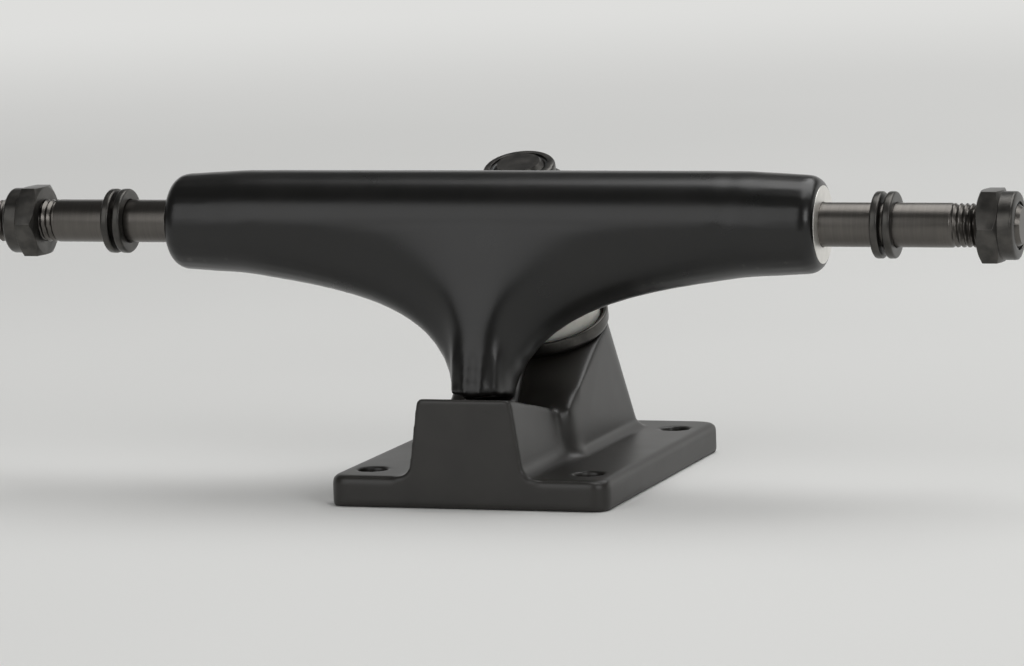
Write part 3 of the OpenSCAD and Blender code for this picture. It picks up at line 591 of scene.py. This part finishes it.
# studio: a plain pale floor, a dim even sky and three soft lamps
studio = {"floorSize": 14, "floorDrop": 0.0001, "floorDark": "#dededc", "floorLight": "#e5e5e3",
          "far": "#dededc", "cameraFade": (0.3, 1.3), "glossFade": (0.05, 0.16), "sky": "#f2f2f0",
          "skyLevel": 0.12, "glowTop": 0.5, "glowFull": 0.2, "glowSide": 0, "glowBack": 0.7}
floorTones = [(0.35, studio["floorDark"]), (0.65, studio["floorLight"])]
bpy.ops.object.select_all(action="DESELECT")
bpy.ops.mesh.primitive_plane_add(size=studio["floorSize"], location=(0, 0, -studio["floorDrop"]))
floor = bpy.context.object
floor.name = "studioFloor"
material, tree, shader, onPiece = startMaterial("matteFloor", Roughness=0.85)
cloud = addNode(tree, "ShaderNodeTexNoise", {"Scale": grain(400), "Detail": 2}, onPiece)
tone = addNode(tree, "ShaderNodeValToRGB", {"stops": floorTones}, [("Fac", cloud, "Fac")])
tree.links.new(tone.outputs["Color"], shader.inputs["Base Color"])
# away from the object the floor stays pale for the camera and in reflections; near it, it takes the shadow
reach = addNode(tree, "ShaderNodeVectorMath", {"operation": "LENGTH"}, onPiece)
ray = addNode(tree, "ShaderNodeLightPath", {})
mirrored = addNode(tree, "ShaderNodeMath", {"operation": "MAXIMUM"},
                   [(0, ray, "Is Glossy Ray"), (1, ray, "Is Transmission Ray")])
pale = []
for source, output, fade in ((ray, "Is Camera Ray", studio["cameraFade"]),
                             (mirrored, "Value", studio["glossFade"])):
    far = addNode(tree, "ShaderNodeMapRange", {"interpolation_type": "SMOOTHSTEP", "From Min": fade[0],
                                               "From Max": fade[1]}, [("Value", reach, "Value")])
    pale.append(addNode(tree, "ShaderNodeMath", {"operation": "MULTIPLY"},
                        [(0, source, output), (1, far, "Result")]))
most = addNode(tree, "ShaderNodeMath", {"operation": "MAXIMUM"},
               [(0, pale[0], "Value"), (1, pale[1], "Value")])
glow = addNode(tree, "ShaderNodeEmission", {"Color": linearColour(studio["far"]), "Strength": 1})
both = addNode(tree, "ShaderNodeMixShader", {},
               [(0, most, "Value"), (1, shader, "BSDF"), (2, glow, "Emission")])
tree.links.new(both.outputs["Shader"], tree.nodes["Material Output"].inputs["Surface"])
floor.data.materials.append(material)

world = bpy.context.scene.world or bpy.data.worlds.new("studio")
bpy.context.scene.world = world
world.use_nodes = True
tree = world.node_tree
sky = tree.nodes["Background"]
sky.inputs["Color"].default_value = linearColour(studio["sky"])
# low behind the object the pale background also shows to the camera and in reflections
heading = addNode(tree, "ShaderNodeTexCoord", {})
parts = addNode(tree, "ShaderNodeSeparateXYZ", {}, [(0, heading, "Generated")])
lowDown = addNode(tree, "ShaderNodeMapRange",
                  {"interpolation_type": "SMOOTHSTEP", "From Min": studio["glowTop"],
                   "From Max": studio["glowFull"]}, [("Value", parts, "Z")])
behind = addNode(tree, "ShaderNodeMapRange",
                 {"interpolation_type": "SMOOTHSTEP", "From Min": studio["glowSide"],
                  "From Max": studio["glowBack"]}, [("Value", parts, "Y")])
ray = addNode(tree, "ShaderNodeLightPath", {})
mirrored = addNode(tree, "ShaderNodeMath", {"operation": "MAXIMUM"},
                   [(0, ray, "Is Glossy Ray"), (1, ray, "Is Transmission Ray")])
seen = addNode(tree, "ShaderNodeMath", {"operation": "MAXIMUM"},
               [(0, ray, "Is Camera Ray"), (1, mirrored, "Value")])
band = addNode(tree, "ShaderNodeMath", {"operation": "MULTIPLY"},
               [(0, lowDown, "Result"), (1, behind, "Result")])
shown = addNode(tree, "ShaderNodeMath", {"operation": "MULTIPLY"},
                [(0, seen, "Value"), (1, band, "Value")])
strength = addNode(tree, "ShaderNodeMapRange", {"To Min": studio["skyLevel"], "To Max": 1},
                   [("Value", shown, "Value")])
tree.links.new(strength.outputs["Result"], sky.inputs["Strength"])

softboxes = {
    "overhead": {"at": (0.3, 0.35, 1.15), "size": 1.2, "watts": 13},
    "front": {"at": (-0.55, -1.5, 0.75), "size": 1.3, "watts": 8},
    "right": {"at": (1.2, -0.9, 0.6), "size": 0.6, "watts": 5},
}
aim = Vector((0, 0, 0.03))
for name, box in softboxes.items():
    lamp = bpy.data.lights.new(name, "AREA")
    lamp.energy = box["watts"]
    lamp.size = box["size"]
    holder = bpy.data.objects.new(name, lamp)
    bpy.context.collection.objects.link(holder)
    holder.location = box["at"]
    holder.rotation_mode = "QUATERNION"
    holder.rotation_quaternion = (aim - Vector(box["at"])).to_track_quat("-Z", "Y")
    holder.visible_camera = False

# the camera stands where the photograph was taken from
view = {"at": (300.4, -892.75, 151.0), "yaw": 18.75, "pitch": 7.49, "roll": -1.81, "lens": 179.9,
        "sensor": 36, "near": 0.05, "far": 50}
yaw, pitch, roll = (math.radians(view[key]) for key in ("yaw", "pitch", "roll"))
ahead = Vector((-math.sin(yaw) * math.cos(pitch), math.cos(yaw) * math.cos(pitch), -math.sin(pitch)))
sideways = Vector((math.cos(yaw), math.sin(yaw), 0))
upward = sideways.cross(ahead)
across = sideways * math.cos(roll) + upward * math.sin(roll)
upright = upward * math.cos(roll) - sideways * math.sin(roll)
camera = bpy.data.objects.new("photoCamera", bpy.data.cameras.new("photoCamera"))
bpy.context.collection.objects.link(camera)
camera.data.sensor_width = view["sensor"]
camera.data.lens = view["lens"]
camera.data.clip_start = view["near"]
camera.data.clip_end = view["far"]
turn = Matrix((across, upright, -ahead)).transposed().to_4x4()
camera.matrix_world = Matrix.Translation(Vector(view["at"]) * mm) @ turn
bpy.context.scene.camera = camera
bpy.context.scene.view_settings.view_transform = "Standard"
print("studio ready")
